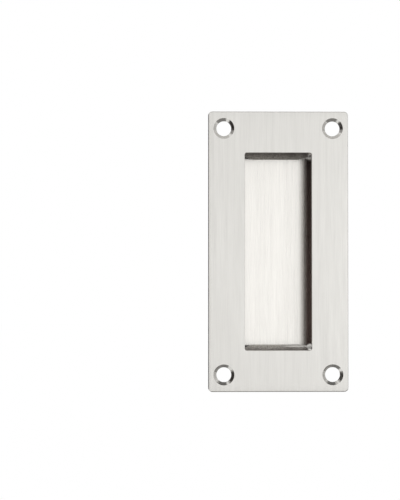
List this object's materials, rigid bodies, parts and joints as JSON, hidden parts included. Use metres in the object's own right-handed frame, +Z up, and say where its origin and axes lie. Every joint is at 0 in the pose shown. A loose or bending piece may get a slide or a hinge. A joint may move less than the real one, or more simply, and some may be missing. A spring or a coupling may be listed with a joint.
{
  "type": "recessed pull handle",
  "caption": "Flush pull handle: flat rectangular metal plate with countersunk corner holes and a slot-like aperture over a deeper, wider recess pan for the fingers.",
  "frame": {"origin": "centre of the face plate's back, the plane that seats on the door, on the axis through the middle of the four screw holes", "axes": "+Z up along the plate's long side, +X across the plate to the right as seen from the front, +Y into the door, so the finished face looks along -Y"},
  "size_m": [0.051, 0.0145, 0.102],
  "materials": {
    "plate_steel": "satin, fine grain along the long side",
    "pan_steel": "satin, fine grain along the long side"
  },
  "bodies": {
    "root": {"face_plate": "plate_steel", "recess_pan": "pan_steel"}
  },
  "joints": []
}
